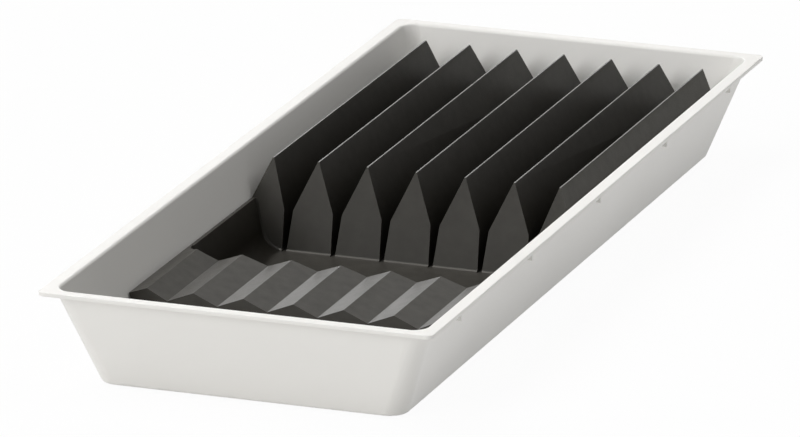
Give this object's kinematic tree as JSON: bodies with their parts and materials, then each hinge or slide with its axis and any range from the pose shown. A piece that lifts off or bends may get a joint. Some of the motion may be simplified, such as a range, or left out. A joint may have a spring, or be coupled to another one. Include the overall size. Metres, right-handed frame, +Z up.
{
  "type": "cutlery tray",
  "caption": "Long rimmed drawer tray with sloping walls, holding a lift-out knife insert with upright blade slots, a finger trough and a saw-tooth handle rest.",
  "frame": {"origin": "on the surface the tray stands on, under the middle of the tray", "axes": "+Z up; +Y along the tray towards the end with the blade slots; +X to the right, seen from the handle end"},
  "size_m": [0.2, 0.5, 0.0502],
  "materials": {
    "tray_white": "white injection-moulded plastic, satin",
    "insert_anthracite": "anthracite injection-moulded plastic, fine matt texture",
    "foot_rubber": "soft grey anti-slip rubber"
  },
  "bodies": {
    "tray": {"outer_tray": "tray_white", "anti_slip_foot_front_left": "foot_rubber", "anti_slip_foot_front_right": "foot_rubber", "anti_slip_foot_rear_left": "foot_rubber", "anti_slip_foot_rear_right": "foot_rubber"},
    "insert": {"knife_insert": "insert_anthracite"}
  },
  "joints": [
    {"name": "insert_lift", "type": "slide", "parent": "tray", "child": "insert", "axis": [0, 0, 1], "range_m": [0, 0.06]}
  ]
}
